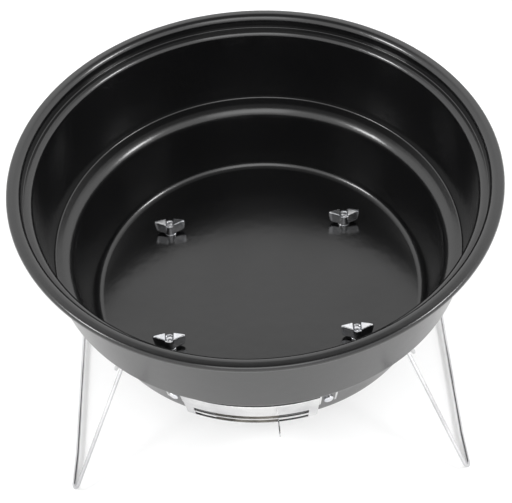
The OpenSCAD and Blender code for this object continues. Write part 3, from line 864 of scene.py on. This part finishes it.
def wing_nut(side, end, node):
    """The hub's ring and two wings. A wing's half thickness falls from as much as the hub's at its
    root to a thin tip, so its upper edge is a broad leaf-shaped face."""
    angles = np.linspace(0, 2 * np.pi, 64, endpoint=False)
    bore = BOLT_R + 0.04 * MM
    hub_line = np.array([(bore, 0), (HUB_LOW, 0), (HUB_HIGH, HUB_H), (bore + 0.3 * MM, HUB_H),
                         (bore, HUB_H - 0.3 * MM)])
    points = [lathe(hub_line, angles).reshape(-1, 3)]
    faces = grid_faces(len(hub_line), 64, True, True).tolist()
    outline = wing_outline()
    count = len(outline)
    half_t = np.interp(outline[:, 0], [WING_ROOT, 4.5 * MM, 8.5 * MM], [3 * MM, 2.2 * MM, 0.8 * MM])
    for turn in (1, -1):
        start = sum(len(p) for p in points)
        layers = [np.column_stack([turn * outline[:, 0], layer * half_t, outline[:, 1]])
                  for layer in (-1, 1)]
        points.append(np.vstack(layers))
        ring = grid_faces(2, count, close_columns=True) + start
        faces += [*ring.tolist(), list(range(start, start + count)),
                  list(range(start + 2 * count - 1, start + count - 1, -1))]
    place = np.array([side * BOLT_X, end * BOLT_Y, NUT_Z])
    piece = make_piece(f"{node}_cast", np.vstack(points) + place, faces, zinc, "bowl",
                       [node])
    melt = piece.modifiers.new("melt_together", "REMESH")
    melt.mode = "VOXEL"
    melt.voxel_size = 0.25 * MM
    melt.use_smooth_shade = True
    soften = piece.modifiers.new("soften", "SMOOTH")
    soften.factor = 0.5
    soften.iterations = 6
    return piece


for place, side, end in CORNERS:
    bolt(side, end, f"bolt_{place}")
    washer(side, end, f"washer_{place}")
    wing_nut(side, end, f"wing_nut_{place}")
print("fasteners:", 3 * len(CORNERS), "pieces; thread top at", round(BOLT_TOP, 4))

# %% [markdown]
# ## Studio
# The bowl stands on a plain pale floor. The sky is bright from the horizon to half way up and
# dark overhead, which keeps the inside of the bowl black while its rim and shoulder shine. Three
# soft boxes, one at each side and one in front, fill in the floor, and the floor's light comes
# back up to the outside of the bowl.

# %% Floor
floor_finish, shader = new_material("studio_floor", (0.92, 0.92, 0.92), 0.0, 0.6)
floor_finish.node_tree.links.new(
    blend_colours(floor_finish, noise(floor_finish, 3, 2), (0.915, 0.915, 0.915), (0.93, 0.93, 0.93)),
    shader.inputs["Base Color"])
floor_mesh = bpy.data.meshes.new("floor")
far = 6.0
floor_mesh.from_pydata([(-far, -far, 0), (far, -far, 0), (far, far, 0), (-far, far, 0)],
                       [], [(0, 1, 2, 3)])
floor = bpy.data.objects.new("studio_floor", floor_mesh)
bpy.context.scene.collection.objects.link(floor)
floor_mesh.materials.append(floor_finish)

# %% Light


def look(direction, up=(0, 0, 1), roll=0.0):
    """The turn that points a lamp or camera's -Z along direction, its Y near up, then rolled."""
    back = -Vector(direction).normalized()
    right = Vector(up).cross(back).normalized()
    turn = Matrix((right, back.cross(right), back)).transposed()
    return turn @ Matrix.Rotation(roll, 3, "Z")


def soft_box(name, place, aim, size, watts):
    """A square area lamp at place that faces aim."""
    data = bpy.data.lights.new(name, "AREA")
    data.size = size
    data.energy = watts
    lamp = bpy.data.objects.new(name, data)
    lamp.matrix_world = Matrix.Translation(place) @ look(Vector(aim) - Vector(place)).to_4x4()
    bpy.context.scene.collection.objects.link(lamp)


world = bpy.data.worlds.new("soft_sky")
world.use_nodes = True
nodes, links = world.node_tree.nodes, world.node_tree.links
direction = nodes.new("ShaderNodeTexCoord")
split = nodes.new("ShaderNodeSeparateXYZ")
fade = nodes.new("ShaderNodeMapRange")
fade.interpolation_type = "SMOOTHSTEP"
fade.inputs["From Min"].default_value = 0.74
fade.inputs["From Max"].default_value = 0.95
fade.inputs["To Min"].default_value = 1.5
fade.inputs["To Max"].default_value = 0.25
links.new(direction.outputs["Generated"], split.inputs["Vector"])
links.new(split.outputs["Z"], fade.inputs["Value"])
links.new(fade.outputs["Result"], nodes["Background"].inputs["Strength"])
nodes["Background"].inputs["Color"].default_value = (1, 1, 1, 1)
bpy.context.scene.world = world
BOWL_MIDDLE = (0, 0, 0.1)
for place, side in (("left", -1), ("right", 1)):
    soft_box(f"soft_box_{place}", (side, -0.25, 0.95), BOWL_MIDDLE, 0.3, 5)
soft_box("soft_box_front", (0, -0.9, 1.15), BOWL_MIDDLE, 0.85, 4)

# %% Camera
camera_data = bpy.data.cameras.new("camera")
camera_data.sensor_width = 36
camera_data.lens = 88.68
camera_data.clip_end = 50
camera = bpy.data.objects.new("camera", camera_data)
stand = Vector((0, -0.5022, 0.6720))
sight = look((-0.00211, 0.65359, -0.75684), roll=np.radians(-3.38))
camera.matrix_world = Matrix.Translation(stand) @ sight.to_4x4()
bpy.context.scene.collection.objects.link(camera)
bpy.context.scene.camera = camera
bpy.context.scene.view_settings.view_transform = "Standard"
